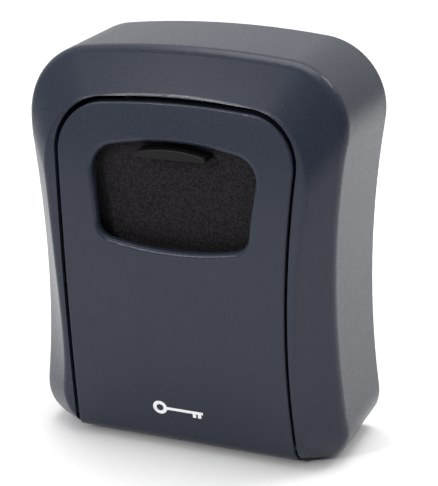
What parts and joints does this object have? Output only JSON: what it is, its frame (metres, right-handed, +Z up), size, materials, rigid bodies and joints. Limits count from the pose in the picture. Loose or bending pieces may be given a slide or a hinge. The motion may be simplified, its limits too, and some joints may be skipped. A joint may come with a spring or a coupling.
{
  "type": "wall key lock box",
  "caption": "Waisted wall-mounted key box with a drop-down door, a sliding cover over number wheels and a push-down latch.",
  "frame": {"origin": "centre of the four wall-fixing holes on the wall face, half way up the box", "axes": "+Z up, -Y out of the door toward the user, X along the width with +X to the right of a user facing the door"},
  "size_m": [0.097, 0.0434, 0.12],
  "materials": {
    "case_paint": "blue-grey powder coat with a fine texture, satin",
    "door_paint": "blue-grey powder coat with a fine texture, satin",
    "cover_black": "black, spark-eroded grain, matt",
    "black_plastic": "black, lightly grained",
    "grey_plastic": "dark grey, lightly grained",
    "button_black": "black, satin gloss",
    "dial_plastic": "black with white numerals, satin gloss",
    "brass": "turned, lightly tarnished",
    "steel": "zinc plated",
    "zinc_steel": "stamped, zinc plated",
    "spring_steel": "bare spring steel"
  },
  "bodies": {
    "case": {"body_shell": "case_paint", "hinge_pin": "steel"},
    "door": {"door_shell": "door_paint", "cover_guide": "black_plastic", "lock_case": "black_plastic", "case_screws": "steel", "rear_cover": "grey_plastic", "rear_cover_screws": "steel", "detent_spring": "spring_steel", "latch_springs": "spring_steel", "reset_spring": "spring_steel"},
    "cover": {"dial_cover": "cover_black"},
    "latch": {"latch_plate": "zinc_steel", "open_button": "button_black", "latch_rivets": "steel"},
    "reset": {"dial_axle": "steel", "axle_clips": "spring_steel", "reset_lever": "zinc_steel"},
    "wheel_1": {"dial_1": "dial_plastic", "code_cam_1": "brass"},
    "wheel_2": {"dial_2": "dial_plastic", "code_cam_2": "brass"},
    "wheel_3": {"dial_3": "dial_plastic", "code_cam_3": "brass"},
    "wheel_4": {"dial_4": "dial_plastic", "code_cam_4": "brass"}
  },
  "joints": [
    {"name": "door_hinge", "type": "hinge", "parent": "case", "child": "door", "pos_m": [0, -0.03224, -0.0542], "axis": [1, 0, 0], "range_deg": [0, 80]},
    {"name": "cover_slide", "type": "slide", "parent": "door", "child": "cover", "axis": [0, 0, -1], "range_m": [0, 0.024]},
    {"name": "latch_press", "type": "slide", "parent": "door", "child": "latch", "axis": [0, 0, -1], "range_m": [0, 0.003], "stiffness_N_per_m": 400, "springref_m": -0.002, "deforming": ["latch_springs"]},
    {"name": "reset_slide", "type": "slide", "parent": "door", "child": "reset", "axis": [1, 0, 0], "range_m": [0, 0.0015], "stiffness_N_per_m": 400, "springref_m": -0.002, "deforming": ["reset_spring"]},
    {"name": "dial_1_spin", "type": "hinge", "parent": "door", "child": "wheel_1", "pos_m": [-0.0135, -0.027, 0.018], "axis": [1, 0, 0], "continuous": true},
    {"name": "dial_2_spin", "type": "hinge", "parent": "door", "child": "wheel_2", "pos_m": [-0.0045, -0.027, 0.018], "axis": [1, 0, 0], "continuous": true},
    {"name": "dial_3_spin", "type": "hinge", "parent": "door", "child": "wheel_3", "pos_m": [0.0045, -0.027, 0.018], "axis": [1, 0, 0], "continuous": true},
    {"name": "dial_4_spin", "type": "hinge", "parent": "door", "child": "wheel_4", "pos_m": [0.0135, -0.027, 0.018], "axis": [1, 0, 0], "continuous": true}
  ]
}
